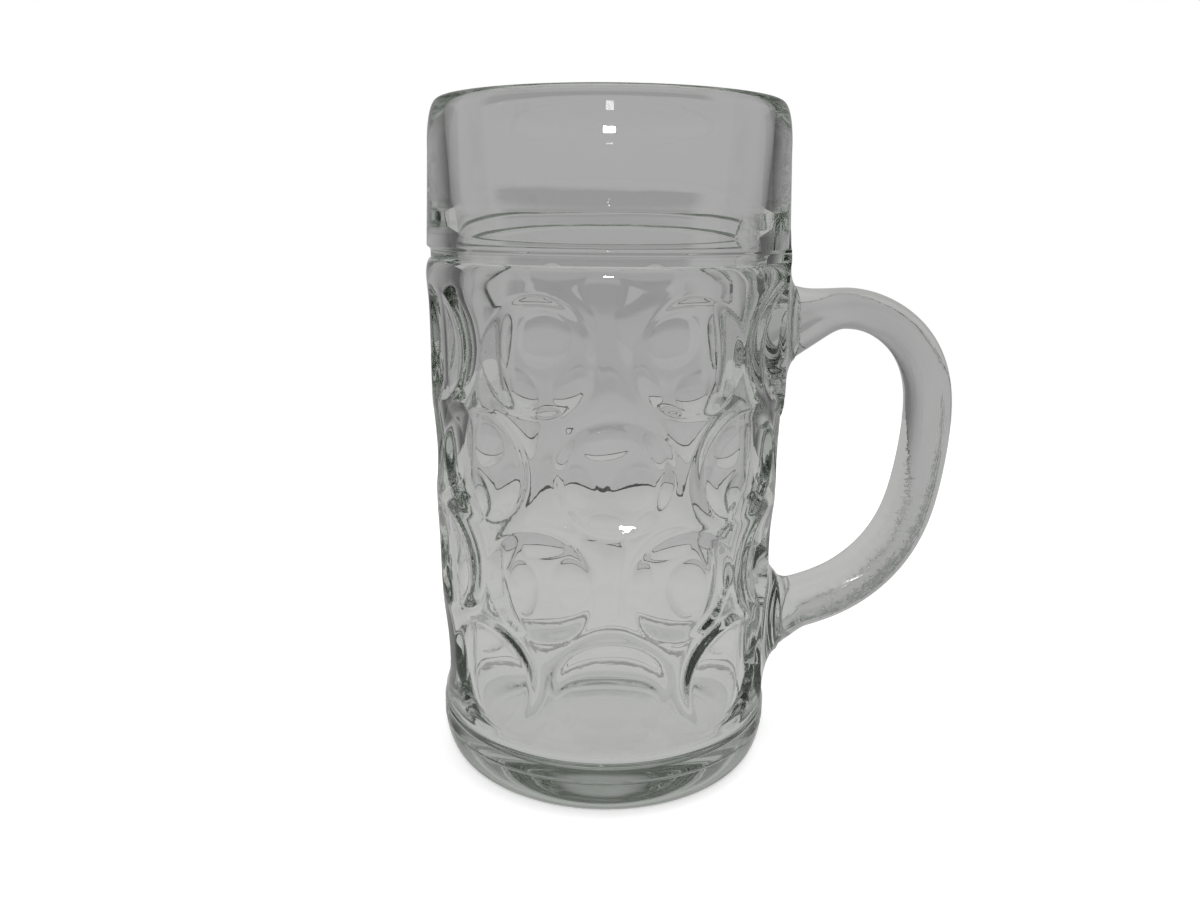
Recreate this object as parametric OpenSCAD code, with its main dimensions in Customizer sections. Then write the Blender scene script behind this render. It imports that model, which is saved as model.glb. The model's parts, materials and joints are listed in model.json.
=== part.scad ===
// Dimpled glass beer mug, one litre, in millimetres.
// The mug stands on z = 0 with its axis on Z, and its handle points along +X.
// It is two pieces of pressed glass: the body, and the handle that is fused to two pads on its wall.

/* [Body] */
// Overall height, from the table to the lip
mug_h = 202; // [196:1:212]
// Outside diameter of the dimpled wall at its top
wall_d = 108; // [105:0.5:112]
// Outside diameter at the waist, just above the foot
waist_d = 102.6; // [99:0.2:104]
// Height of the waist above the table
waist_z = 30; // [26:0.5:33]

/* [Rim band] */
// Outside diameter of the plain band at the rim, at its lower edge
band_d = 108.4; // [105:0.2:110]
// Height of the plain band, from its lower edge to the lip
band_h = 40.5; // [36:0.5:44]
// How far the side of the band leans in, from its lower edge up to the lip
band_lean = 0.9; // [0:0.1:1.5]
// Height over which the band draws in to the lip
lip_h = 14; // [8:0.5:18]
// How far the outside draws in at the lip
lip_in = 3.5; // [2:0.1:5]
// How far the inside of the lip rounds over
lip_round = 1.5; // [1:0.1:2.5]
// Height of the rounding inside the lip
lip_round_h = 4; // [2:0.5:6]

/* [Groove and bead] */
// Height of the groove under the band
groove_w = 3.8; // [3:0.1:5]
// Depth of the groove below the face of the band
groove_d = 1.1; // [0.6:0.1:1.6]
// How far the bead under the groove stands out from the wall
bead_rise = 0.6; // [0.4:0.1:1.5]
// Height from the crest of the bead to the groove
bead_h = 4.7; // [3.5:0.1:6]
// Height over which the bead runs out into the wall below
bead_run = 10; // [7:0.5:12]

/* [Foot] */
// Outside diameter of the foot
foot_d = 105; // [102:0.5:107]
// Height of the crisp edge at the top of the foot, where it starts to draw in to the waist
foot_h = 17.5; // [16.5:0.5:19]
// How far that edge stands out from the wall above it
foot_edge = 0.4; // [0.2:0.1:0.6]
// How far the side of the foot draws in to the face it stands on
foot_round = 7.5; // [5:0.5:9]
// Height over which the side of the foot draws in
foot_round_h = 14; // [9:0.5:14]
// Width of the flat ring that the mug stands on
stand_w = 7.5; // [5:0.5:10]
// Rise of the hollow underside at its middle
push_up = 2; // [1:0.5:4]

/* [Dimples] */
// Dimples in one row round the wall
dimple_columns = 8; // [7:1:9]
// Rows of dimples, each turned half a dimple from the next
dimple_rows = 4; // [3:1:4]
// Width of a dimple, measured straight across
dimple_w = 32.5; // [28:0.5:34]
// Height of a dimple
dimple_h = 32; // [26:0.5:32]
// Depth of a dimple below the round wall
dimple_depth = 4.2; // [3.4:0.1:4.8]
// Glass left between a dimple and the bulge behind it
dimple_wall = 7.3; // [6.4:0.1:8]
// Height of the middle of the lowest row
low_row_z = 37.5; // [35:0.5:40]
// Height from the crest of the bead down to the middle of the highest row
top_row_drop = 19.5; // [18:0.5:23]

/* [Inside] */
// Thickness of the wall below the inside shoulder
wall_t = 8.8; // [8:0.1:9.6]
// Thickness of the wall just above the rounded corner of the floor
low_wall_t = 7.6; // [6.8:0.1:8.2]
// Thickness of the glass behind the groove
groove_wall = 6.7; // [5.5:0.1:8]
// Thickness of the band above the inside shoulder
band_t = 7.2; // [6.5:0.1:8.2]
// Height from the lip down to the inside shoulder, where the wall starts to thicken
shoulder_drop = 30; // [26:0.5:34]
// Height over which the inside shoulder draws in
shoulder_h = 17; // [12:0.5:20]
// Thickness of the floor at its middle, from the table
floor_t = 12.5; // [10:0.5:16]
// Radius between the floor and the wall
floor_round = 6; // [4:0.5:10]

/* [Handle] */
// Distance from the axis of the mug to the outermost point of the handle
handle_reach = 108; // [102:0.5:114]
// Height of the middle of the lower pad
low_pad_z = 44.8; // [42:0.2:48]
// Height from the crest of the bead down to the middle of the upper pad
top_pad_drop = 14.5; // [13:0.5:18]
// Thickness of the grip at its top, seen from the side
grip_t_top = 12.5; // [10.5:0.5:15]
// Thickness of the grip at its lower end, seen from the side
grip_t_low = 15.5; // [13:0.5:18]
// Width of the grip at its top, seen from behind
grip_w_top = 19; // [16:0.5:22]
// Width of the grip at its lower end, seen from behind
grip_w_low = 21; // [18:0.5:24]
// Height of the handle's end on the upper pad
top_pad_h = 22.6; // [20:0.2:25]
// Height of the handle's end on the lower pad
low_pad_h = 25.4; // [23:0.2:28]
// Width of the handle's end on the upper pad
top_pad_w = 23; // [20:0.5:26]
// Width of the handle's end on the lower pad
low_pad_w = 25; // [22:0.5:28]
// How far the upper pad stands out from the wall
top_pad_rise = 2.9; // [2:0.1:3.5]
// How far the lower pad stands out from the wall
low_pad_rise = 3.4; // [2.4:0.1:4]
// How far the skirt of the upper pad spreads up and down on the wall
top_skirt_h = 7.5; // [4:0.5:8]
// How far the skirt of the lower pad spreads up and down on the wall
low_skirt_h = 6; // [3:0.5:7]
// How far the skirt of a pad spreads sideways on the wall
skirt_w = 1; // [0.5:0.1:2]

/* [Hidden] */

$fn = 96;

// Overrun of every cut past the solid that it cuts
over = 1;

// Steps of a rounded stretch in an outline
arc_steps = 5;
// Steps of the longer curves: the wall, the foot, the lip and the inside shoulder
wall_steps = 7;

// Heights, from the lip down and from the table up
band_z = mug_h - band_h;
groove_z = band_z - groove_w;
bead_z = groove_z - bead_h;
wall_top_z = bead_z - bead_run;
shoulder_z = mug_h - shoulder_drop;
top_row_z = bead_z - top_row_drop;
top_pad_z = bead_z - top_pad_drop;
row_rise = (top_row_z - low_row_z) / (dimple_rows - 1);

// Radii
wall_r = wall_d / 2;
waist_r = waist_d / 2;
band_r = band_d / 2;
bead_r = wall_r + bead_rise;
foot_r = foot_d / 2;
groove_r = band_r - groove_d;
lip_side_r = band_r - band_lean;
lip_r = lip_side_r - lip_in;
stand_r = foot_r - foot_round;
hollow_r = stand_r - stand_w;
widest_r = max(wall_r, waist_r);
high_in_r = min(wall_r - wall_t, groove_r - groove_wall);
low_in_r = min(waist_r, foot_r) - low_wall_t;
band_in_r = band_r - band_t;
column_turn = 360 / dimple_columns;

// How steeply the wall draws in towards the waist: 1 is a straight taper
wall_curve_share = 2;
// Edge of the groove that is rounded, as a share of its height
groove_edge_share = 0.35;
// How soon the inside shoulder draws in below its edge: 1 is a straight cone
shoulder_curve_share = 1.6;

// Places between two values, straight or eased at both ends
function mix(a, b, t) = a + (b - a) * t;
function ease(t) = t * t * (3 - 2 * t);
function held(t) = max(0, min(1, t));

// Outside radius of the plain wall at a height, before the dimples
function wall_radius(z) =
    let(down = held((wall_top_z - z) / (wall_top_z - waist_z)))
    mix(wall_r, waist_r, pow(down, wall_curve_share));

// Points on an ellipse about a centre, from one angle to another
function arc(centre, rx, rz, from, to, steps) = [
    for (i = [0:steps])
        let(a = mix(from, to, i / steps))
            [centre[0] + rx * cos(a), centre[1] + rz * sin(a)]
];

// Points of an eased step from one place to another, without its two ends
function eased_step(from, to, steps) = [
    for (i = [1:steps - 1])
        [mix(from[0], to[0], ease(i / steps)), mix(from[1], to[1], i / steps)]
];

// Half outline of the outside, from the middle of the underside up to the middle of the mouth
function outside_outline() = concat(
    [[0, 0]],
    arc([stand_r, foot_round_h], foot_round, foot_round_h, -90, 0, wall_steps),
    [[foot_r, foot_h]],
    [[foot_r - foot_edge, foot_h + foot_edge]],
    eased_step([foot_r - foot_edge, foot_h + foot_edge], [waist_r, waist_z], arc_steps),
    [for (i = [0:wall_steps])
        let(z = mix(waist_z, wall_top_z, i / wall_steps))
            [wall_radius(z), z]],
    eased_step([wall_r, wall_top_z], [bead_r, bead_z], arc_steps),
    arc([groove_r, bead_z], bead_r - groove_r, bead_h, 0, 90, arc_steps),
    [[groove_r, band_z - groove_w * groove_edge_share]],
    [[band_r, band_z]],
    arc([lip_r, mug_h - lip_h], lip_in, lip_h, 0, 90, wall_steps),
    [[0, mug_h]]
);

// Half outline of the space inside, from the middle of the floor up past the lip
function inside_outline() = concat(
    [[0, floor_t]],
    arc([low_in_r - floor_round, floor_t + floor_round], floor_round, floor_round, -90, 0, wall_steps),
    [for (i = [0:wall_steps])
        let(up = i / wall_steps)
            [mix(high_in_r, band_in_r, pow(up, shoulder_curve_share)), shoulder_z - shoulder_h * (1 - up)]],
    arc([lip_r, mug_h - lip_round_h], lip_round, lip_round_h, 180, 90, arc_steps),
    [[lip_r, mug_h + over], [0, mug_h + over]]
);

// The lens that one dimple takes out of a wall of radius wall, or with grow the larger lens behind it.
// It is a piece of a ring: the ring's sweep follows from the dimple's width, its round from the height.
module dimple_lens(wall, grow = 0) {
    floor_r = wall - dimple_depth;
    edge = wall * cos(asin(dimple_w / 2 / wall));
    across_r = (wall * wall + floor_r * floor_r - 2 * floor_r * edge) / (2 * (edge - floor_r));
    upright_r = (pow(dimple_h / 2, 2) + pow(dimple_depth, 2)) / (2 * dimple_depth);
    round_r = upright_r + grow;
    // The block that cuts the lens out of its ring reaches past the lens on every side
    reach_w = (dimple_w + grow) / 2 + over;
    reach_h = (dimple_h + grow) / 2 + over;
    intersection() {
        translate([floor_r + across_r, 0, 0])
            rotate_extrude()
                intersection() {
                    translate([across_r - upright_r, 0])
                        circle(r = round_r);
                    translate([0, -round_r])
                        square([across_r + grow, 2 * round_r]);
                }
        translate([floor_r - grow - over, -reach_w, -reach_h])
            cube([widest_r - floor_r + grow + 2 * over, 2 * reach_w, 2 * reach_h]);
    }
}

// True for the one dimple that the lower end of the handle takes the place of
function under_handle(row, column) = row == 0 && column == 0;

// Every dimple in its place, or with grow the shapes behind them
module dimples(grow = 0) {
    for (row = [0:dimple_rows - 1], column = [0:dimple_columns - 1]) {
        z = low_row_z + row * row_rise;
        turn = column_turn * (column + (row % 2) / 2);
        if (!under_handle(row, column))
            rotate([0, 0, turn])
                translate([0, 0, z])
                    dimple_lens(wall_radius(z), grow);
    }
}

// The handle

// Squareness of the grip's section: 2 is an ellipse
squareness = 2.4;
// Points round the grip, and rings of them between two stations of its middle line
grip_sides = 28;
grip_rings = 5;

// Where the faces of the two pads lie
top_pad_x = wall_radius(top_pad_z) + top_pad_rise;
low_pad_x = wall_radius(low_pad_z) + low_pad_rise;

// Stretch of the handle, from its top, over which its thickness stays even
even_share = 0.17;
// Thickness of the grip where it reaches out furthest, and its middle line there
far_share = 0.5;
far_t = mix(grip_t_top, grip_t_low, (far_share - even_share) / (1 - even_share));
far_x = handle_reach - far_t / 2;

// Stretches over which the two ends widen to their pads
top_flare_share = 0.09;
low_flare_share = 0.06;
// How fast an end widens
flare_power_share = 1.7;

// Middle line of the handle, from the upper pad to the lower one.
// Each station has its share of the way out from the pads, and of the height between them.
station_shares = [
    [0, 1],
    [0.315, 1.06],
    [0.615, 1.035],
    [0.875, 0.945],
    [1.01, 0.805],
    [1.015, 0.64],
    [0.98, 0.485],
    [0.925, 0.35],
    [0.815, 0.235],
    [0.66, 0.145],
    [0.47, 0.075],
    [0.245, 0.03],
    [0, 0]
];

// One station as a place
function station(share) =
    let(pad_x = mix(low_pad_x, top_pad_x, share[1]))
    [mix(pad_x, far_x, share[0]), mix(low_pad_z, top_pad_z, share[1])];

stations = [for (share = station_shares) station(share)];
spans = len(stations) - 1;

// A station, or one past either end that carries the line on
function station_at(i) =
    i < 0 ? 2 * stations[0] - stations[1]
    : i > spans ? 2 * stations[spans] - stations[spans - 1]
    : stations[i];

// Smooth line drawn by the stations, and the way it runs, at t of the span after station i
function line_at(i, t) =
    (pow(1 - t, 3) * station_at(i - 1)
    + (3 * pow(t, 3) - 6 * pow(t, 2) + 4) * station_at(i)
    + (-3 * pow(t, 3) + 3 * pow(t, 2) + 3 * t + 1) * station_at(i + 1)
    + pow(t, 3) * station_at(i + 2)) / 6;
function run_at(i, t) =
    (-pow(1 - t, 2) * station_at(i - 1)
    + (3 * pow(t, 2) - 4 * t) * station_at(i)
    + (-3 * pow(t, 2) + 2 * t + 1) * station_at(i + 1)
    + pow(t, 2) * station_at(i + 2)) / 2;

// How much of an end's widening is left at a share of the way along
function top_flare(along) = pow(held(1 - along / top_flare_share), flare_power_share);
function low_flare(along) = pow(held(1 - (1 - along) / low_flare_share), flare_power_share);

// Thickness and width of the handle at a share of the way along
function grip_t(along) =
    mix(grip_t_top, grip_t_low, held((along - even_share) / (1 - even_share)))
    + (top_pad_h - grip_t_top) * top_flare(along)
    + (low_pad_h - grip_t_low) * low_flare(along);
function grip_w(along) =
    mix(grip_w_top, grip_w_low, along)
    + (top_pad_w - grip_w_top) * top_flare(along)
    + (low_pad_w - grip_w_low) * low_flare(along);

// Signed power, for a section between an ellipse and a rectangle
function bent(v) = sign(v) * pow(abs(v), 2 / squareness);

// Points of a rounded section: sideways, then up
function section(half_w, half_up, half_down) = [
    for (i = [0:grip_sides - 1])
        let(a = 360 * i / grip_sides, up = bent(sin(a)))
            [half_w * bent(cos(a)), up * (up > 0 ? half_up : half_down)]
];

// One ring of the handle. At the pads it stands upright, and between them square to the line.
function grip_ring(i, t) =
    let(
        along = (i + t) / spans,
        middle = line_at(i, t),
        run = run_at(i, t) / norm(run_at(i, t)),
        upright = max(top_flare(along), low_flare(along)),
        side = along < far_share ? 1 : -1,
        square = [-run[1], run[0]],
        leaning = mix(square, [0, side], ease(upright)),
        out = leaning / norm(leaning)
    )
    [for (p = section(grip_w(along) / 2, grip_t(along) / 2, grip_t(along) / 2))
        [middle[0] + out[0] * p[1], p[0], middle[1] + out[1] * p[1]]];

// A closed skin over rings of points that follow each other
module skin(rings) {
    sides = len(rings[0]);
    last = (len(rings) - 1) * sides;
    points = [for (ring = rings) each ring];
    walls = [
        for (r = [0:len(rings) - 2], s = [0:sides - 1])
            let(a = r * sides + s, b = r * sides + (s + 1) % sides)
                each [[a, b, a + sides], [b, b + sides, a + sides]]
    ];
    first_end = [for (s = [sides - 1:-1:0]) s];
    last_end = [for (s = [0:sides - 1]) last + s];
    polyhedron(points, concat(walls, [first_end, last_end]));
}

// Depths of a pad's rings below its face, as shares of its rise, and how its skirt spreads
skirt_depth_shares = [0, 0.3, 0.6, 0.8, 1, 1.25, 1.6];
skirt_power_share = 1.25;

// A pad on the wall, with its skirt, that one end of the handle is fused to
module pad(x, z, rise, w, h, skirt_h) {
    root = wall_r - dimple_depth - dimple_wall / 2;
    rings = [
        for (depth = skirt_depth_shares)
            let(
                half_w = w / 2 + skirt_w * pow(depth, skirt_power_share),
                half_h = h / 2 + skirt_h * pow(min(depth, 1), skirt_power_share)
            )
            [for (p = section(half_w, half_h, half_h)) [x - depth * rise, p[0], z + p[1]]]
    ];
    buried = [for (p = rings[len(rings) - 1]) [root, p[1], p[2]]];
    skin(concat(rings, [buried]));
}

module pads() {
    pad(top_pad_x, top_pad_z, top_pad_rise, top_pad_w, top_pad_h, top_skirt_h);
    pad(low_pad_x, low_pad_z, low_pad_rise, low_pad_w, low_pad_h, low_skirt_h);
}

// Hollow underside, as the top of a large ball
module underside_hollow() {
    ball_r = (hollow_r * hollow_r + push_up * push_up) / (2 * push_up);
    translate([0, 0, push_up - ball_r])
        sphere(r = ball_r);
}

// The space inside, which narrows behind every dimple
module inside() {
    difference() {
        rotate_extrude()
            polygon(inside_outline());
        dimples(grow = dimple_wall);
    }
}

module mug_body() {
    color([0.78, 0.82, 0.8, 0.5])
        difference() {
            union() {
                difference() {
                    rotate_extrude()
                        polygon(outside_outline());
                    dimples();
                }
                pads();
            }
            inside();
            underside_hollow();
        }
}

module handle() {
    rings = concat(
        [for (i = [0:spans - 1], k = [0:grip_rings - 1]) grip_ring(i, k / grip_rings)],
        [grip_ring(spans - 1, 1)]
    );
    color([0.74, 0.78, 0.76, 0.5])
        skin(rings);
}

mug_body();
handle();
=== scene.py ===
# %% [markdown]
# # A dimpled glass beer mug
#
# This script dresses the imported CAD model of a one-litre glass mug. The mug is thick pressed glass, so
# nearly everything that a viewer sees in it is bent light: the shape of its outside, the shape of its
# inside, and what stands around it. That is why most of the work here goes into two smooth, closed
# meshes, and the material is short.

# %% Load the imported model, which fixes every size and place
import bpy
import json
import math
import numpy as np
from mathutils import Matrix, Vector

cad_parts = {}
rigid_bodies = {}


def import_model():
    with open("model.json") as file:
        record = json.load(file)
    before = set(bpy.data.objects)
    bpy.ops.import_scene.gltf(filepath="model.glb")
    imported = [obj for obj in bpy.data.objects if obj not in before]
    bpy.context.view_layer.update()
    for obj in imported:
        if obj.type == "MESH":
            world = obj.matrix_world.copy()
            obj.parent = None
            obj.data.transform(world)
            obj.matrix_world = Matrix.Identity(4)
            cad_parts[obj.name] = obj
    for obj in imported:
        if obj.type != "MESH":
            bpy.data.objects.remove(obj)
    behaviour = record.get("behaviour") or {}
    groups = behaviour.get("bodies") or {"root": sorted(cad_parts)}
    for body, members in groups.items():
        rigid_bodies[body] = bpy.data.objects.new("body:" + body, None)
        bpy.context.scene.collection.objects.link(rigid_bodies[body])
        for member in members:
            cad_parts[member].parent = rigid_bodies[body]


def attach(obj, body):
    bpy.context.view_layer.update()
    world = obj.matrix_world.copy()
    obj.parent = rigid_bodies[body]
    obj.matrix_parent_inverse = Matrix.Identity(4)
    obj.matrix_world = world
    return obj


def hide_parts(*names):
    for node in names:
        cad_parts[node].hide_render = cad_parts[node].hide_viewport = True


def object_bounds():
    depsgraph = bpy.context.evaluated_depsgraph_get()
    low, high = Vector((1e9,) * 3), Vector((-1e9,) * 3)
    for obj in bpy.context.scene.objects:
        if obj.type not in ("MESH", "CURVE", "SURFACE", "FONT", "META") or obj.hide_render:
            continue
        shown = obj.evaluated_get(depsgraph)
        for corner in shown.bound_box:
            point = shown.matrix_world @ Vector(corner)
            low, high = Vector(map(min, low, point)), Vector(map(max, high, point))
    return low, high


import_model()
cad_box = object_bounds()
mm = 0.001
print("CAD box in mm:", [[round(v / mm, 2) for v in corner] for corner in cad_box])


def put(name, data):
    """A new object in the scene, made from a mesh, a lamp or a camera."""
    made = bpy.data.objects.new(name, data)
    bpy.context.scene.collection.objects.link(made)
    return made


# %% [markdown]
# ## The camera
#
# The photograph was taken from close by, from just under the height of the rim, so the mug tapers in the
# picture. A camera is easiest to check when it is written as a photographer would say it: how far away it
# stands, how high, how far it looks down, and how far it is turned and tilted. The mug in the photograph
# is turned a little on its axis, so the camera walks round it by the same angle the other way.

# %% Camera at the photograph's place
camera_distance = 308.4 * mm
camera_height = 170.7 * mm
looks_down = math.radians(13.3)
looks_aside = math.radians(-0.366)
tilt = math.radians(0.521)
mug_turn = math.radians(2.3)
focal_length, frame_width = 30, 36


def make_camera():
    data = bpy.data.cameras.new("camera")
    data.sensor_width = frame_width
    data.lens = focal_length
    data.clip_start = 0.01
    data.clip_end = 20
    camera = put("camera", data)
    walk = Matrix.Rotation(-mug_turn, 3, "Z")
    level = walk @ Matrix.Rotation(-looks_aside, 3, "Z")
    forward = level @ Vector((0, math.cos(looks_down), -math.sin(looks_down)))
    across = level @ Vector((1, 0, 0))
    upward = across.cross(forward)
    right = across * math.cos(tilt) + upward * math.sin(tilt)
    top = upward * math.cos(tilt) - across * math.sin(tilt)
    turned = Matrix((right, top, -forward)).transposed().to_4x4()
    place = walk @ Vector((0, -camera_distance, camera_height))
    camera.matrix_world = Matrix.Translation(place) @ turned
    bpy.context.scene.camera = camera
    print("camera stands at", [round(v, 4) for v in place])


make_camera()

# %% [markdown]
# ## Small helpers for node trees
#
# A rule in a node tree is a sum like any other, but as nodes it takes a dozen boxes and wires. The class
# below wraps one output socket and teaches Python's own operators to add the Math node that does the
# same. With it, a line such as `depth * (1 - mask)` builds the two nodes and their wires. The same class
# serves the Geometry Nodes trees that shape the glass and the shader trees that finish it, because both
# know the Math node.

# %% A socket that can be used in sums
class Wire:
    """An output socket. Each of Python's operators on it adds one Math node."""

    def __init__(self, sheet, socket):
        self.sheet = sheet
        self.socket = socket

    def sum(self, operation, *others, first=None):
        values = [self if first is None else first, *others]
        return self.sheet.node("ShaderNodeMath", {"operation": operation}, dict(enumerate(values)))

    def __add__(self, other): return self.sum("ADD", other)
    def __radd__(self, other): return self.sum("ADD", self, first=other)
    def __sub__(self, other): return self.sum("SUBTRACT", other)
    def __rsub__(self, other): return self.sum("SUBTRACT", self, first=other)
    def __mul__(self, other): return self.sum("MULTIPLY", other)
    def __rmul__(self, other): return self.sum("MULTIPLY", self, first=other)
    def __truediv__(self, other): return self.sum("DIVIDE", other)
    def __rtruediv__(self, other): return self.sum("DIVIDE", self, first=other)


class Sheet:
    """One node tree, with a method that adds any node and one that ends the tree."""

    def __init__(self, tree):
        self.tree = tree

    def node(self, kind, settings=None, inputs=None):
        made = self.tree.nodes.new(kind)
        for name, value in (settings or {}).items():
            setattr(made, name, value)
        for name, value in (inputs or {}).items():
            socket = made.inputs[name]
            if isinstance(value, Wire):
                self.tree.links.new(value.socket, socket)
            else:
                socket.default_value = value
        return Wire(self, made.outputs[0])

    def end(self, kind, **wires):
        last = self.tree.nodes.new(kind)
        for name, wire in wires.items():
            self.tree.links.new(wire.socket, last.inputs[name])


# %% Sums that both kinds of tree use
def root(a): return a.sum("SQRT")
def size(a): return a.sum("ABSOLUTE")
def sine(a): return a.sum("SINE")
def cosine(a): return a.sum("COSINE")
def nearest(a): return a.sum("ROUND")
def least(a, b): return a.sum("MINIMUM", b)
def most(a, b): return a.sum("MAXIMUM", b)
def soft_least(a, b, blend): return a.sum("SMOOTH_MIN", b, blend)
def between(a, low, high): return least(most(a, low), high)


def step(a, start, end):
    """0 before start, 1 after end, and an eased rise between them."""
    t = between((a - start) / (end - start), 0, 1)
    return t * t * (3 - 2 * t)


def split(wire):
    """The three parts of a place or a direction."""
    parts = wire.sheet.node("ShaderNodeSeparateXYZ", inputs={0: wire}).socket.node.outputs
    return [Wire(wire.sheet, parts[i]) for i in range(3)]


# %% Material trees
def start_material(name):
    """A new material, and the empty sheet of its tree."""
    material = bpy.data.materials.new(name)
    material.use_nodes = True
    material.node_tree.nodes.clear()
    return material, Sheet(material.node_tree)


def noise(sheet, place, scale, detail):
    return sheet.node("ShaderNodeTexNoise", {}, {"Vector": place, "Scale": scale, "Detail": detail})


def own_place(sheet, kind="Object"):
    """The place of a point in its own object, or another kind of coordinates."""
    return Wire(sheet, sheet.node("ShaderNodeTexCoord").socket.node.outputs[kind])


def glow(sheet, tint, strength):
    return sheet.node("ShaderNodeEmission", {}, {"Color": tint, "Strength": strength})


# %% [markdown]
# ## The outline of the body
#
# A pressed mug is a turned shape: half an outline, swept round the axis. The outline runs from the middle
# of the hollow underside, out over the ring that the mug stands on, up the foot and the wall, over the
# bead, the groove and the rim, and down the inside to the middle of the floor. Polished glass has no true
# corners, so every stretch is an arc or an eased curve, with more points where it turns quickly.

# %% Sizes of the body, in metres
height = cad_box[1].z - cad_box[0].z
wall_r, waist_r, foot_r = 54 * mm, 51.3 * mm, 52.5 * mm
bead_r, groove_r, band_r = 54.6 * mm, 53.1 * mm, 54.2 * mm
lip_side_r, lip_r = 53.3 * mm, 49.8 * mm
stand_r, hollow_r, push_up = 45 * mm, 37.5 * mm, 2 * mm
foot_round_h, foot_h, foot_edge, waist_z = 14 * mm, 17.5 * mm, 0.4 * mm, 30 * mm
seam_z = 12.3 * mm
wall_top_z, bead_z, groove_z, groove_top_z, band_z = 143 * mm, 153 * mm, 157.7 * mm, 160.2 * mm, 161.5 * mm
lip_h, lip_round, lip_round_h = 14 * mm, 1.5 * mm, 4 * mm
band_in_r, high_in_r, low_in_r = 47 * mm, 45.2 * mm, 43.7 * mm
shoulder_z, shoulder_h = 172 * mm, 17 * mm
floor_t, floor_round = 12.5 * mm, 6 * mm
print("the body is", round(height / mm, 1), "mm high")


# %% Stretches of an outline
def mix(a, b, t):
    return a + (b - a) * t


def ease(t):
    return t * t * (3 - 2 * t)


def line(start, end, steps):
    return [(mix(start[0], end[0], i / steps), mix(start[1], end[1], i / steps)) for i in range(steps)]


def eased(start, end, steps):
    """From one place to another, level with the axis at both ends."""
    return [(mix(start[0], end[0], ease(i / steps)), mix(start[1], end[1], i / steps)) for i in range(steps)]


def coved(start, end, steps, power=1.6):
    """Down from one place to another, quickly at first and then more and more upright."""
    shares = [i / steps for i in range(steps)]
    return [(mix(end[0], start[0], (1 - s) ** power), mix(start[1], end[1], s)) for s in shares]


def arc(centre, rx, rz, start, end, steps, squareness=2):
    """Part of an ellipse, or of a squarer form of one, from one angle to another in degrees."""
    points = []
    for i in range(steps):
        a = math.radians(mix(start, end, i / steps))
        c, s = math.cos(a), math.sin(a)
        c = math.copysign(abs(c) ** (2 / squareness), c)
        s = math.copysign(abs(s) ** (2 / squareness), s)
        points.append((centre[0] + rx * c, centre[1] + rz * s))
    return points


def wall_radius(z):
    """Outside radius of the wall before its dimples."""
    down = min(1, max(0, (wall_top_z - z) / (wall_top_z - waist_z)))
    return mix(wall_r, waist_r, down ** 2)


# %% Side of the foot, with the fine ridge that two parts of the mould leave on it
seam_rise, seam_w = 0.07 * mm, 0.5 * mm
round_angles = np.radians(np.arange(0, 76, 5))
rows_by_seam = (-1.2, -0.6, -0.3, -0.12, 0.12, 0.3, 0.6, 1.1)
foot_rows = [foot_round_h * (1 - math.cos(a)) for a in round_angles] + [seam_z + d * mm for d in rows_by_seam]


def foot_side(z):
    drawn_in = math.sqrt(max(0, 1 - (1 - z / foot_round_h) ** 2))
    seam = seam_rise * max(0, 1 - (2 * (z - seam_z) / seam_w) ** 2)
    return stand_r + (foot_r - stand_r) * drawn_in + seam


# %% The whole outline
ball_r = (hollow_r ** 2 + push_up ** 2) / (2 * push_up)
hollow_angle = math.degrees(math.asin(hollow_r / ball_r))
wall_rows, inside_rows = 108, 72

outside = (
    arc((0, push_up - ball_r), ball_r, ball_r, 90, 90 - hollow_angle, 10)
    + line((hollow_r, 0), (stand_r, 0), 5)
    + [(foot_side(z), z) for z in foot_rows]
    + line((foot_r, foot_round_h), (foot_r, foot_h), 3)
    + line((foot_r, foot_h), (foot_r - foot_edge, foot_h + foot_edge), 2)
    + eased((foot_r - foot_edge, foot_h + foot_edge), (waist_r, waist_z), 13)
    + [(wall_radius(z), z) for z in np.linspace(waist_z, wall_top_z, wall_rows, endpoint=False)]
    + eased((wall_r, wall_top_z), (bead_r, bead_z), 12)
    + arc((groove_r, bead_z), bead_r - groove_r, groove_z - bead_z, 0, 90, 9)
    + line((groove_r, groove_z), (groove_r, groove_top_z), 4)
    + eased((groove_r, groove_top_z), (band_r, band_z), 5)
    + line((band_r, band_z), (lip_side_r, height - lip_h), 9)
    + arc((lip_r, height - lip_h), lip_side_r - lip_r, lip_h, 0, 90, 15, squareness=2.2)
)
inside = (
    arc((lip_r, height - lip_round_h), -lip_round, lip_round_h, 90, 0, 8)
    + line((lip_r - lip_round, height - lip_round_h), (band_in_r, shoulder_z), 12)
    + coved((band_in_r, shoulder_z), (high_in_r, shoulder_z - shoulder_h), 14)
    + line((high_in_r, shoulder_z - shoulder_h), (low_in_r, floor_t + floor_round), inside_rows)
    + arc((low_in_r - floor_round, floor_t + floor_round), floor_round, -floor_round, 0, 90, 10)
    + line((low_in_r - floor_round, floor_t), (0, floor_t), 8)
    + [(0, floor_t)]
)
print("outline points:", len(outside), "outside and", len(inside), "inside")

# %% [markdown]
# ## Turning the outline into a mesh
#
# The sweep could be Blender's Screw modifier, but two things are wanted that it doesn't give: columns
# that stand closer together where the handle's pads rise, and a mark on each point that says whether it
# is outside or inside, for the rule that presses the dimples. Both are easy when the mesh is made from
# rows and columns of points. The two ends of the outline lie on the axis, so each is one point with a fan
# of triangles, and the mesh is closed.

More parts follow.
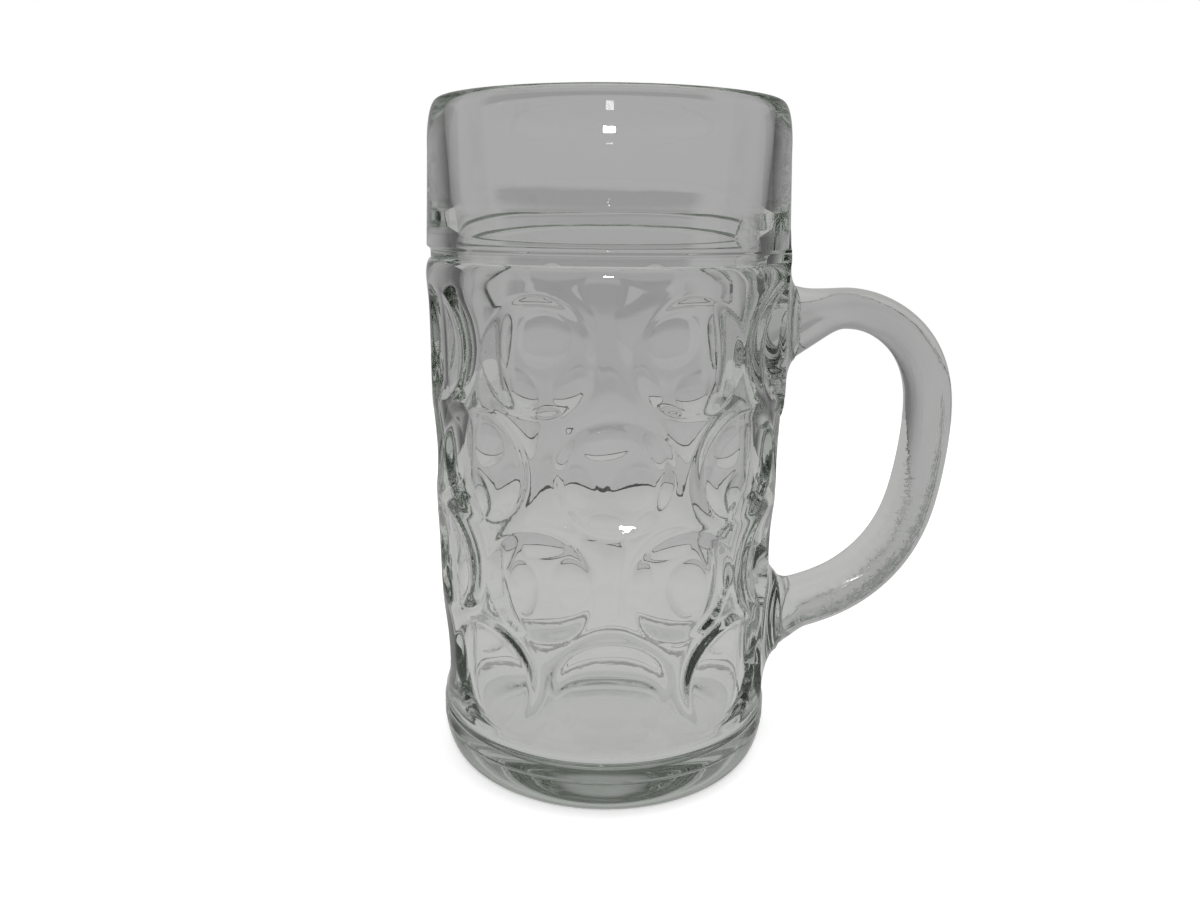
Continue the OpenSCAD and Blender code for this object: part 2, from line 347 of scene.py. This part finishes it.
# %% Columns round the axis, closer together at the pads
pad_half = math.radians(16)
pad_columns, wall_columns = 60, 286
full_rows_inside = 6  # the inside goes on with every second column
near = np.linspace(-pad_half, pad_half, pad_columns, endpoint=False)
rest = np.linspace(pad_half, 2 * math.pi - pad_half, wall_columns, endpoint=False)
azimuths = np.concatenate([near, rest])


# %% Sweep
def turned_mesh(name, outline, azimuths, halve_from, inside_from):
    """A closed mesh swept from an outline whose ends lie on the axis, with every second column further on."""
    rows = outline[1:-1]
    points = [(0, 0, outline[0][1])]
    rings = []
    for i, (r, z) in enumerate(rows):
        turns = azimuths if i < halve_from else azimuths[::2]
        rings.append([len(points) + c for c in range(len(turns))])
        points += [(r * math.cos(a), r * math.sin(a), z) for a in turns]
    points.append((0, 0, outline[-1][1]))
    faces = fan(0, rings[0][::-1]) + fan(len(points) - 1, rings[-1])
    for low, high in zip(rings, rings[1:]):
        faces += quads(low, high) if len(low) == len(high) else halving(low, high)
    mesh = bpy.data.meshes.new(name)
    mesh.from_pydata(points, [], faces)
    marks = np.zeros(len(points), np.float32)
    marks[rings[inside_from - 1][0]:] = 1
    mesh.attributes.new("inside", "FLOAT", "POINT").data.foreach_set("value", marks)
    mesh.update()
    return mesh


def fan(middle, ring):
    return [(a, b, middle) for a, b in zip(ring, ring[1:] + ring[:1])]


def quads(low, high):
    return [(a, b, d, c) for a, b, c, d in zip(low, low[1:] + low[:1], high, high[1:] + high[:1])]


def halving(low, high):
    """Three triangles join two columns below to one column above."""
    faces = []
    for i, (c, d) in enumerate(zip(high, high[1:] + high[:1])):
        a, m, b = low[2 * i], low[2 * i + 1], low[(2 * i + 2) % len(low)]
        faces += [(a, m, c), (m, d, c), (m, b, d)]
    return faces


halve_from = len(outside) + full_rows_inside
body_mesh = turned_mesh("mug_body_turned", outside + inside, azimuths, halve_from, len(outside))
print("turned body:", len(body_mesh.vertices), "points and", len(body_mesh.polygons), "faces")

# %% [markdown]
# ## Pressing the dimples
#
# The wall has four rows of round dimples, each row turned half a dimple from the next. Behind every
# dimple the inside swells softly, because the glass keeps its thickness there. That is a rule with a
# handful of sizes, so it is a Geometry Nodes tree with those sizes as its inputs. A dimple is a piece of
# a ring: its curve across the mug follows from its width, and its curve up and down from its height. The
# tree works out, for each point of the wall, how far from the axis that ring lies, and takes the lesser
# of the wall and the ring with a soft join between them, as fire polish leaves it. The dimple that the
# handle's lower pad would cover is left out.

# %% Sizes of the dimples, and the inputs of the tree that presses them
dimple_sizes = {
    "Columns": 8,
    "Lowest row": 37.5 * mm,
    "Row rise": 32 * mm,
    "Width": 32.5 * mm,
    "Height": 32 * mm,
    "Depth": 4.2 * mm,
    "Edge softness": 0.45 * mm,
    "Glass behind": 7.3 * mm,
    "Bulge softness": 3 * mm,
    "Ripple": 0.03 * mm,
    "Ripple length": 11 * mm,
}
last_row = 3

# Each pair is where an eased rise starts and where it ends. The rule presses only the wall, so not the
# middle of the floor. The ripple leaves the ring that the mug stands on and the lip as they are, and it
# fades towards the axis. A dimple that is left out is put a metre away, where the wall never meets it.
pressed_from, pressed_to = (17 * mm, 20 * mm), (155 * mm, 157 * mm)
core = (30 * mm, 36 * mm)
rippled_from, rippled_to = (1 * mm, 12 * mm), (190 * mm, 201 * mm)
calm_r = 20 * mm
out_of_reach = 1.0


# %% Start a Geometry Nodes tree with named inputs
def start_tree(name, sizes):
    tree = bpy.data.node_groups.new(name, "GeometryNodeTree")
    tree.interface.new_socket("Geometry", in_out="INPUT", socket_type="NodeSocketGeometry")
    for key in sizes:
        tree.interface.new_socket(key, in_out="INPUT", socket_type="NodeSocketFloat")
    tree.interface.new_socket("Material", in_out="INPUT", socket_type="NodeSocketMaterial")
    tree.interface.new_socket("Geometry", in_out="OUTPUT", socket_type="NodeSocketGeometry")
    sheet = Sheet(tree)
    given = tree.nodes.new("NodeGroupInput")
    return sheet, {socket.name: Wire(sheet, socket) for socket in given.outputs}


def end_tree(sheet, geometry, material):
    """Every tree ends with Realize Instances and Set Material."""
    real = sheet.node("GeometryNodeRealizeInstances", inputs={"Geometry": geometry})
    finished = sheet.node("GeometryNodeSetMaterial", inputs={"Geometry": real, "Material": material})
    sheet.end("NodeGroupOutput", Geometry=finished)


# %% How far from the axis one dimple's ring lies
def dimple_reach(row, turn_share, z, azimuth, grow, at):
    """Radius of the ring of the nearest dimple in a row, and a mark for the dimple at azimuth 0."""
    pitch = 2 * math.pi / at["Columns"]
    middle = at["Lowest row"] + row * at["Row rise"]
    off = azimuth / pitch - turn_share
    column = nearest(off)
    aside = (off - column) * pitch
    up = z - middle
    down = between((wall_top_z - middle) / (wall_top_z - waist_z), 0, 1)
    wall = wall_r + (waist_r - wall_r) * down * down
    floor = wall - at["Depth"]
    half_w = at["Width"] / 2
    edge = root(wall * wall - half_w * half_w)
    across = (wall * wall + floor * floor - 2 * floor * edge) / (2 * (edge - floor))
    half_h = at["Height"] / 2
    upright = (half_h * half_h + at["Depth"] * at["Depth"]) / (2 * at["Depth"])
    centre = floor + across
    round_r = upright + grow
    sweep = across - upright + root(most(round_r * round_r - up * up, 0))
    sidestep = centre * sine(aside)
    reach = centre * cosine(aside) - root(most(sweep * sweep - sidestep * sidestep, 0))
    return reach, size(column)


# %% The tree that presses the dimples
def dimple_tree():
    sheet, at = start_tree("press_dimples", dimple_sizes)
    place = sheet.node("GeometryNodeInputPosition")
    x, y, z = split(place)
    inner = sheet.node("GeometryNodeInputNamedAttribute", {"data_type": "FLOAT"}, {"Name": "inside"})
    radius = root(x * x + y * y)
    azimuth = y.sum("ARCTAN2", x)
    grow = at["Glass behind"] * inner
    soft = at["Edge softness"] + (at["Bulge softness"] - at["Edge softness"]) * inner
    row = (z - at["Lowest row"]) / at["Row rise"]
    even = between(nearest(row / 2) * 2, 0, last_row - 1)
    odd = between(nearest((row - 1) / 2) * 2 + 1, 1, last_row)
    even_reach, even_column = dimple_reach(even, 0, z, azimuth, grow, at)
    odd_reach, _ = dimple_reach(odd, 0.5, z, azimuth, grow, at)
    under_handle = (1 - least(even, 1)) * (1 - least(even_column, 1))
    even_reach = even_reach + out_of_reach * under_handle
    pressed = soft_least(soft_least(radius, even_reach, soft), odd_reach, soft)
    is_wall = step(radius, *core) * step(z, *pressed_from) * (1 - step(z, *pressed_to))
    moved = radius + (pressed - radius) * is_wall
    ripple = sheet.node(
        "ShaderNodeTexNoise",
        {"noise_dimensions": "4D"},
        {"Vector": place, "W": inner * 3, "Scale": 1 / at["Ripple length"], "Detail": 1.0},
    )
    rippled = step(z, *rippled_from) * (1 - step(z, *rippled_to))
    moved = moved - ripple * at["Ripple"] * 2 * rippled * least(radius / calm_r, 1)
    share = moved / most(radius, 0.1 * mm)
    out = sheet.node("ShaderNodeCombineXYZ", inputs={"X": x * share, "Y": y * share, "Z": z})
    shaped = sheet.node("GeometryNodeSetPosition", inputs={"Geometry": at["Geometry"], "Position": out})
    end_tree(sheet, shaped, at["Material"])
    return sheet.tree


# %% Run a tree on a mesh and keep the result as a plain mesh
def run_tree(name, mesh, tree, values):
    """A modifier's inputs are set by their identifiers before the object is first evaluated."""
    carrier = put(name + "_carrier", mesh)
    modifier = carrier.modifiers.new("rule", "NODES")
    modifier.node_group = tree
    names = {item.name: item.identifier for item in tree.interface.items_tree if item.in_out == "INPUT"}
    for key, value in values.items():
        modifier[names[key]] = value
    graph = bpy.context.evaluated_depsgraph_get()
    made = bpy.data.meshes.new_from_object(carrier.evaluated_get(graph))
    made.name = name
    carrier.modifiers.clear()
    bpy.data.objects.remove(carrier)
    return made


# %% [markdown]
# ## The glass
#
# Clear glass is two things: a surface that bends light, and a depth that tints it. A plain Principled
# shader with full transmission does the first, and Volume Absorption does the second, so the foot and the
# edges go grey-green while the thin wall stays clear. Pressed glass is never quite even: the mould leaves
# slow ripples, which a Bump node adds, and handling leaves a very slight change in its polish. The handle
# was drawn out and bent while it was soft, so its ripples run along it as streaks. They follow the sweep
# of the handle, which its mesh keeps as an attribute, and towards the bottom its skin is finely mottled
# where it touched the mould.

# %% Glass material
glass_ior = 1.52
glass_tint, glass_density = (0.80, 0.825, 0.795, 1), 24.0
polish_least, polish_spread = 0.004, 0.012
streak_scale, mottle_scale = 4.0, 420.0
slow_share, streak_share, mottle_share = 0.4, 2, 3.5
mottled_z, mottled_x = (70 * mm, 110 * mm), (66 * mm, 76 * mm)  # where the mottle fades in


def glass_material(name, ripple_scale, ripple_strength, drawn_out=False):
    material, sheet = start_material(name)
    place = own_place(sheet)
    slow = noise(sheet, place, ripple_scale, 2.0)
    polish = noise(sheet, place, ripple_scale * 3, 3.0)
    relief = slow
    if drawn_out:
        attribute = sheet.node("ShaderNodeAttribute", {"attribute_name": "sweep"}).socket.node
        sweep = Wire(sheet, attribute.outputs["Vector"])
        streak = noise(sheet, sweep, streak_scale, 3.0)
        mottle = noise(sheet, place, mottle_scale, 3.0)
        x, _, z = split(place)
        low = (1 - step(z, *mottled_z)) * step(x, *mottled_x)
        relief = slow * slow_share + streak * streak_share + (mottle - 0.5) * mottle_share * low
    bump = sheet.node("ShaderNodeBump", {}, {"Height": relief, "Strength": 1.0, "Distance": ripple_strength})
    surface = sheet.node(
        "ShaderNodeBsdfPrincipled",
        {},
        {
            "Base Color": (1, 1, 1, 1),
            "Roughness": polish_least + polish * polish_spread,
            "IOR": glass_ior,
            "Transmission Weight": 1.0,
            "Normal": bump,
        },
    )
    depth = sheet.node("ShaderNodeVolumeAbsorption", {}, {"Color": glass_tint, "Density": glass_density})
    sheet.end("ShaderNodeOutputMaterial", Surface=surface, Volume=depth)
    return material


body_glass = glass_material("clear_body_glass", 45.0, 0.03 * mm)
handle_glass = glass_material("clear_handle_glass", 60.0, 0.08 * mm, drawn_out=True)

# %% Read and move the points of a mesh
def points_of(mesh):
    points = np.zeros(len(mesh.vertices) * 3)
    mesh.vertices.foreach_get("co", points)
    return points.reshape(-1, 3)


def move_points(mesh, points):
    mesh.vertices.foreach_set("co", points.ravel())
    mesh.update()


# %% Press the body
pressed = run_tree("mug_body_pressed", body_mesh, dimple_tree(), {**dimple_sizes, "Material": body_glass})
body_points = points_of(pressed)
print("pressed body reaches", np.round(body_points.min(0) / mm, 2), "to",
      np.round(body_points.max(0) / mm, 2))

# %% [markdown]
# ## The pads
#
# The handle is fused to two pads on the wall. Each pad is flat where the handle meets it, and falls away
# to the wall in a skirt that is wide above and below and steep at the sides. The pads belong to the
# body's glass, so they are raised out of the same mesh: each point outside, near the handle, moves out to
# the pad's surface where that lies outside the wall.

# %% Sizes of the pads and of the handle
low_pad_z, top_pad_z = 44.8 * mm, 138.5 * mm
top_pad_rise, low_pad_rise = 2.9 * mm, 3.4 * mm
top_pad_x = wall_radius(top_pad_z) + top_pad_rise
low_pad_x = wall_radius(low_pad_z) + low_pad_rise
pads = {
    "top": dict(x=top_pad_x, z=top_pad_z, rise=top_pad_rise, w=23 * mm, h=22.6 * mm, skirt_h=7.5 * mm),
    "low": dict(x=low_pad_x, z=low_pad_z, rise=low_pad_rise, w=25 * mm, h=25.4 * mm, skirt_h=6 * mm),
}
squareness = 2.4
skirt_w = 2.2 * mm
skirt_power = 1.25
pad_edge = 0.3 * mm
pad_blend = 0.8 * mm
widest_share = 4  # how far the skirt runs on, in widths of the skirt
facing_least, outside_r = 0.9, 45 * mm  # points that a pad may move
skirt_limit = 1.6


# %% Raise the pads
def rounded_norm(y, z, half_w, half_h):
    """1 on the outline of a rounded section, less inside it and more outside."""
    return (np.abs(y / half_w) ** squareness + np.abs(z / half_h) ** squareness) ** (1 / squareness)


def soft_max(a, b, blend):
    h = np.clip(blend - np.abs(a - b), 0, None) / blend
    return np.maximum(a, b) + h ** 3 * blend / 6


def raise_pads(points, outside_mark):
    radius = np.hypot(points[:, 0], points[:, 1])
    facing = points[:, 0] / np.maximum(radius, mm)
    near_handle = (facing > facing_least) & outside_mark & (radius > outside_r)
    y, z = points[:, 1], points[:, 2]
    for pad in pads.values():
        half_w, half_h = pad["w"] / 2 + pad_edge, pad["h"] / 2 + pad_edge
        up = z - pad["z"]
        at_top = rounded_norm(y, up, half_w, half_h)
        at_foot = rounded_norm(y, up, half_w + skirt_w, half_h + pad["skirt_h"])
        share = np.clip((at_top - 1) / np.maximum(at_top - at_foot, 1e-6), 0, widest_share)
        face_x = pad["x"] - pad["rise"] * share ** (1 / skirt_power)
        near_pad = near_handle & (np.abs(up) < half_h + 2 * pad["skirt_h"]) & (at_foot < skirt_limit)
        reach = np.where(near_pad, face_x / np.maximum(facing, 0.5), 0)
        raised = soft_max(radius, reach, pad_blend)
        # The face itself stays flat, so that the handle meets it everywhere
        raised = np.where(near_pad & (at_top <= 1), reach, raised)
        grown = np.where(near_pad, raised, radius) / np.maximum(radius, mm)
        points = np.column_stack([points[:, 0] * grown, points[:, 1] * grown, z])
        y = points[:, 1]
        radius = np.hypot(points[:, 0], points[:, 1])
    return points


marks = np.zeros(len(pressed.vertices), np.float32)
pressed.attributes["inside"].data.foreach_get("value", marks)
body_points = raise_pads(body_points, marks < 0.5)
move_points(pressed, body_points)
print("with its pads the body reaches x", round(body_points[:, 0].max() / mm, 2), "mm")

# %% [markdown]
# ## The handle
#
# The handle follows a smooth line from the upper pad to the lower one. A B-spline over thirteen listed
# stations gives that line. Along it, rings of a rounded section are set square to the line,
# thicker and wider towards the bottom, and widening at each end to meet its pad, where they stand
# upright.

# %% The handle's middle line
handle_reach = 108 * mm
grip_t_top, grip_t_low = 12.5 * mm, 15.5 * mm
grip_w_top, grip_w_low = 19 * mm, 21 * mm
even_share, far_share = 0.17, 0.5
top_flare_share, low_flare_share, flare_power = 0.09, 0.06, 1.7
far_t = mix(grip_t_top, grip_t_low, (far_share - even_share) / (1 - even_share))
far_x = handle_reach - far_t / 2
station_shares = [
    (0, 1),
    (0.315, 1.06),
    (0.615, 1.035),
    (0.875, 0.945),
    (1.01, 0.805),
    (1.015, 0.64),
    (0.98, 0.485),
    (0.925, 0.35),
    (0.815, 0.235),
    (0.66, 0.145),
    (0.47, 0.075),
    (0.245, 0.03),
    (0, 0),
]
stations = np.array(
    [
        (mix(mix(low_pad_x, top_pad_x, up), far_x, out), mix(low_pad_z, top_pad_z, up))
        for out, up in station_shares
    ]
)
spans = len(stations) - 1
carried_on = np.vstack([2 * stations[0] - stations[1], stations, 2 * stations[-1] - stations[-2]])


def line_at(i, t):
    """Place on the B-spline at t of the span after station i, and the way it runs there."""
    p = carried_on[i:i + 4]
    second, third = 3 * t ** 3 - 6 * t ** 2 + 4, -3 * t ** 3 + 3 * t ** 2 + 3 * t + 1
    place = np.array([(1 - t) ** 3, second, third, t ** 3]) / 6
    run = np.array([-(1 - t) ** 2, 3 * t ** 2 - 4 * t, -3 * t ** 2 + 2 * t + 1, t ** 2]) / 2
    way = run @ p
    return place @ p, way / np.linalg.norm(way)


# %% Sections along the line
grip_sides = 56
grip_rings = 12
gap_at_pad = 0.02 * mm
slimmer = 0.05 * mm
cap_shares = (0.04, 0.3, 0.65)


def flare(along, share):
    return max(0, 1 - along / share) ** flare_power


def grip_size(along):
    """Thickness and width of the handle at a share of the way along."""
    top, low = flare(along, top_flare_share), flare(1 - along, low_flare_share)
    even = min(1, max(0, (along - even_share) / (1 - even_share)))
    t = mix(grip_t_top, grip_t_low, even)
    t += (pads["top"]["h"] - grip_t_top) * top + (pads["low"]["h"] - grip_t_low) * low
    w = mix(grip_w_top, grip_w_low, along)
    w += (pads["top"]["w"] - grip_w_top) * top + (pads["low"]["w"] - grip_w_low) * low
    return t - slimmer, w - slimmer, max(top, low)


def bent(v):
    return math.copysign(abs(v) ** (2 / squareness), v)


def handle_ring(i, t):
    along = (i + t) / spans
    middle, way = line_at(i, t)
    thick, wide, upright = grip_size(along)
    side = 1 if along < far_share else -1
    out = np.array([-way[1], way[0]])
    out = mix(out, np.array([0, side]), ease(upright))
    out = out / np.linalg.norm(out)
    ring = []
    for k in range(grip_sides):
        a = 2 * math.pi * k / grip_sides
        across, up = wide / 2 * bent(math.cos(a)), thick / 2 * bent(math.sin(a))
        ring.append((middle[0] + out[0] * up, across, middle[1] + out[1] * up))
    return ring


rings = [handle_ring(i, k / grip_rings) for i in range(spans) for k in range(grip_rings)]
rings.append(handle_ring(spans - 1, 1))
print("handle:", len(rings), "rings of", grip_sides)


# %% A closed skin over the rings
def ringed_mesh(name, rings):
    """Rings joined by quads, closed at each end by smaller rings and a fan.

    The attribute "sweep" keeps each point's place round its ring and along the sweep.
    """
    def closing(ring, shares):
        centre = np.mean(ring, axis=0)
        return [[tuple(mix(np.array(p), centre, s)) for p in ring] for s in shares]

    all_rings = closing(rings[0], cap_shares)[::-1] + rings + closing(rings[-1], cap_shares)
    sides = len(rings[0])
    points = [p for ring in all_rings for p in ring]
    first, last = len(points), len(points) + 1
    points += [tuple(np.mean(rings[0], axis=0)), tuple(np.mean(rings[-1], axis=0))]
    faces = []
    for r in range(len(all_rings) - 1):
        for s in range(sides):
            a, b = r * sides + s, r * sides + (s + 1) % sides
            faces.append((a, b, b + sides, a + sides))
    end = (len(all_rings) - 1) * sides
    faces += [(first, (s + 1) % sides, s) for s in range(sides)]
    faces += [(last, end + s, end + (s + 1) % sides) for s in range(sides)]
    mesh = bpy.data.meshes.new(name)
    mesh.from_pydata(points, [], faces)
    turns = [2 * math.pi * s / sides for s in range(sides)]
    sweep = [(math.cos(a), math.sin(a), r / len(all_rings)) for r in range(len(all_rings)) for a in turns]
    sweep += [(0, 0, 0), (0, 0, 1)]
    mesh.attributes.new("sweep", "FLOAT_VECTOR", "POINT").data.foreach_set("vector", np.ravel(sweep))
    mesh.update()
    return mesh


handle_mesh = ringed_mesh("handle_swept", rings)
handle_points = points_of(handle_mesh)
is_upper = handle_points[:, 2] > 0.5 * (low_pad_z + top_pad_z)
seat_x = np.where(is_upper, top_pad_x, low_pad_x) + gap_at_pad
handle_points[:, 0] = np.maximum(handle_points[:, 0], seat_x)
move_points(handle_mesh, handle_points)

# %% [markdown]
# ## Placing the two pieces
#
# Each piece stands for one CAD solid, which it hides. Its object stays at the origin, and its place is
# in its mesh.

# %% Make the pieces
sharp_over = math.radians(60)


def make_piece(name, mesh, material, node):
    mesh.name = name
    mesh.materials.clear()
    mesh.materials.append(material)
    mesh.shade_smooth()
    mesh.set_sharp_from_angle(angle=sharp_over)
    piece = put(name, mesh)
    triangles, millilitres = sum(len(p.vertices) - 2 for p in mesh.polygons), mesh_volume(mesh) * 1e6
    print(name, "has", triangles, "triangles and", round(millilitres, 1), "ml of glass")
    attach(piece, "root")
    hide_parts(node)


def mesh_volume(mesh):
    """Space inside a closed mesh, which is above 0 when its faces point outwards."""
    mesh.calc_loop_triangles()
    corners = np.zeros(len(mesh.loop_triangles) * 3, np.int32)
    mesh.loop_triangles.foreach_get("vertices", corners)
    a, b, c = points_of(mesh)[corners.reshape(-1, 3)].transpose(1, 0, 2)
    return float(np.einsum("ij,ij->i", a, np.cross(b, c)).sum() / 6)


make_piece("mug_glass_body", pressed, body_glass, "mug_body")
make_piece("mug_glass_handle", handle_mesh, handle_glass, "handle")

# %% [markdown]
# ## The table, the room and the lamps
#
# The mug stands on a pale round table. To the camera the table and the room behind it are white, and the
# table keeps the mug's shadow. Glass shows its surroundings, so the rays that have met glass are given a
# plain room: a mid-grey screen that stands on the table behind the mug, a lighter ceiling, and darkness
# high up behind the camera. Glass bends some rays right round to that darkness, which is what draws its
# edges. For those rays the table carries painted shade: an uneven painted shadow ring round the foot, and
# painted shade under the foot and towards the table's far edge. The screen carries a painted soft shadow
# of the mug, as the flash would throw it, painted shade towards its top and sides, and a painted shadow
# line along its foot. The camera doesn't see the screen directly, so the background stays white from every
# side. The flash itself is made as two lamps: one for the mirror image on the outside of the glass, and a
# smaller and weaker one for its glint as seen through the glass.

# %% Which rays a floor or a room answers to
def ray_kinds(sheet):
    """1 for rays straight from the camera, and 1 for rays that have met glass on their way."""
    path = sheet.node("ShaderNodeLightPath").socket.node.outputs
    seen = Wire(sheet, path["Is Camera Ray"])
    met_glass = most(Wire(sheet, path["Is Transmission Ray"]), Wire(sheet, path["Is Glossy Ray"]))
    return seen, met_glass


# %% Table, with painted shade that only the glass shows: a shadow ring round the foot, and shade under it and towards the far edge
table_r = 600 * mm
table_drop = 0.05 * mm
table_sides = 160
table_grey, table_glow = 0.56, 0.42
# Painted shade that only rays through the glass see: an uneven painted shadow ring round the foot, faint
# painted shade under the foot, and the table painted darker towards its far edge
shadow_ring_from, shadow_ring_to, shadow_ring_dark = (60 * mm, 64 * mm), (68 * mm, 76 * mm), 0.5
shadow_ring_wander, shadow_ring_scale = 24 * mm, 140.0
contact_shade_r, contact_shade_dark = (44 * mm, 50 * mm), 0.07
far_shade_r, far_shade_dark = (0.1, 0.35), 0.08


def make_table():
    angles = [2 * math.pi * i / table_sides for i in range(table_sides)]
    points = [(0, 0, 0)] + [(table_r * math.cos(a), table_r * math.sin(a), 0) for a in angles]
    faces = [(0, 1 + i, 1 + (i + 1) % table_sides) for i in range(table_sides)]
    mesh = bpy.data.meshes.new("table")
    mesh.from_pydata(points, [], faces)
    table = put("table", mesh)
    table.location.z = -table_drop
    material, sheet = start_material("table_top")
    seen, met_glass = ray_kinds(sheet)
    place = own_place(sheet)
    x, y, _ = split(place)
    radius = root(x * x + y * y)
    # painted shadow: an uneven dark ring round the foot
    wandering = radius + (noise(sheet, place, shadow_ring_scale, 2.0) - 0.5) * shadow_ring_wander
    ring = step(wandering, *shadow_ring_from) * (1 - step(wandering, *shadow_ring_to))
    # painted shade under the foot
    contact_shade = 1 - step(radius, *contact_shade_r)
    # painted shade: the table darker towards its far edge, as the flash's light falls off
    shade = table_grey - far_shade_dark * step(radius, *far_shade_r)
    shade = shade * (1 - shadow_ring_dark * ring) * (1 - contact_shade_dark * contact_shade)
    lit = sheet.node("ShaderNodeBsdfDiffuse", {}, {"Color": (0.8, 0.8, 0.8, 1)})
    white = sheet.node("ShaderNodeAddShader", {}, {0: lit, 1: glow(sheet, (1, 1, 1, 1), table_glow)})
    grey = glow(sheet, (1, 1, 0.99, 1), shade)
    both = sheet.node("ShaderNodeMixShader", {}, {0: met_glass * (1 - seen), 1: white, 2: grey})
    sheet.end("ShaderNodeOutputMaterial", Surface=both)
    mesh.materials.append(material)


make_table()

# %% Screen that stands behind the mug, for the glass to show
screen_y, screen_half, screen_tall = 317 * mm, 0.75, 0.6
screen_grey, screen_least = 0.40, 0.03
# A painted shadow line along the screen's foot, where it meets the table, with an uneven top
corner_shade_h, corner_shade_from, corner_shade_to, corner_shade_scale = 5 * mm, 0.2, 0.5, 90.0
shadow_low, shadow_top, shadow_half = 70 * mm, 158 * mm, 90 * mm
shadow_sag, shadow_edge, shadow_blur, shadow_fade = 7 * mm, 2 * mm, 10 * mm, 14 * mm
shadow_dark, shadow_more, shadow_deepens = 0.09, 0.18, (110 * mm, 130 * mm)
# Painted shade: the screen goes darker towards its sides and its top, as the flash's light falls off
sides_shade, sides_shade_from = 0.85, (0.12, 0.5)
top_shade, top_shade_from = 0.4, (190 * mm, 300 * mm)


def make_screen():
    half, tall = screen_half, screen_tall
    mesh = bpy.data.meshes.new("screen")
    mesh.from_pydata([(-half, 0, 0), (half, 0, 0), (half, 0, tall), (-half, 0, tall)], [], [(0, 1, 2, 3)])
    screen = put("screen", mesh)
    screen.location.y = screen_y
    screen.visible_camera = False
    screen.visible_diffuse = False
    screen.visible_shadow = False
    material, sheet = start_material("grey_screen")
    place = own_place(sheet)
    x, _, z = split(place)
    aside = size(x)
    over_top = z - shadow_top + shadow_sag * (aside / shadow_half) * (aside / shadow_half)
    shadow = 1 - step(over_top, -shadow_edge, shadow_edge)
    shadow = shadow * step(z, shadow_low - shadow_fade, shadow_low)
    shadow = shadow * (1 - step(aside, shadow_half - shadow_blur, shadow_half + shadow_blur))
    deep = shadow_dark + shadow_more * step(z, *shadow_deepens)
    # painted shadow of the mug, and painted shade towards the screen's sides and top
    wall = screen_grey * (1 - deep * shadow) * (1 - sides_shade * step(aside, *sides_shade_from))
    wall = wall * (1 - top_shade * step(z, *top_shade_from))
    # painted shadow line along the screen's foot
    uneven = noise(sheet, place, corner_shade_scale, 2.0)
    wall = wall * step(z, corner_shade_h * (corner_shade_from + uneven), corner_shade_h * (corner_shade_to + uneven))
    sheet.end("ShaderNodeOutputMaterial", Surface=glow(sheet, (1, 1, 1, 1), screen_least + wall))
    mesh.materials.append(material)


make_screen()

# %% Room
wall_grey = 0.36
ceiling_grey = 0.52
far_grey = 0.02
plain_light = 0.9
dark_behind, dark_above, ceiling_from = (-0.5, 0.25), (0.12, 0.3), (0.6, 0.9)


def make_room():
    world = bpy.data.worlds.new("room")
    bpy.context.scene.world = world
    world.use_nodes = True
    world.node_tree.nodes.clear()
    sheet = Sheet(world.node_tree)
    seen, met_glass = ray_kinds(sheet)
    _, y, z = split(own_place(sheet, "Generated"))
    dark = (1 - step(y, *dark_behind)) * step(z, *dark_above)
    high = step(z, *ceiling_from)
    wall = wall_grey + (far_grey - wall_grey) * dark
    room = wall + (ceiling_grey - wall) * high
    strength = seen + (1 - seen) * (met_glass * room + (1 - met_glass) * plain_light)
    light = sheet.node("ShaderNodeBackground", {}, {"Color": (1, 1, 1, 1), "Strength": strength})
    sheet.end("ShaderNodeOutputWorld", Surface=light)


make_room()

# %% Lamps
def make_lamp(name, place, aim, width, depth, watts, mirrored=False, seen_through=False):
    data = bpy.data.lights.new(name, "AREA")
    data.shape = "RECTANGLE"
    data.size, data.size_y = width, depth
    data.energy = watts
    lamp = put(name, data)
    lamp.location = place
    lamp.rotation_euler = (Vector(aim) - Vector(place)).to_track_quat("-Z", "Y").to_euler()
    lamp.visible_glossy = mirrored
    lamp.visible_transmission = seen_through


mug_middle = (0, 0, 0.11)
make_lamp("flash", (-0.012, -0.309, 0.229), mug_middle, 34 * mm, 14 * mm, 0.28, mirrored=True)
make_lamp("glint", (-0.012, -0.309, 0.235), mug_middle, 10 * mm, 7 * mm, 0.03, seen_through=True)
make_lamp("soft_lamp", (0.25, -0.1, 0.9), (0, 0, 0), 0.5, 0.5, 1.2)

# %% [markdown]
# ## Last settings
#
# Thick glass bends a ray many times before it leaves, so Cycles is allowed more bounces than usual.

# %% Finish
bounces = 24
bpy.context.scene.view_settings.view_transform = "Standard"
bpy.context.scene.cycles.max_bounces = bounces
bpy.context.scene.cycles.transmission_bounces = bounces
bpy.context.scene.cycles.glossy_bounces = bounces
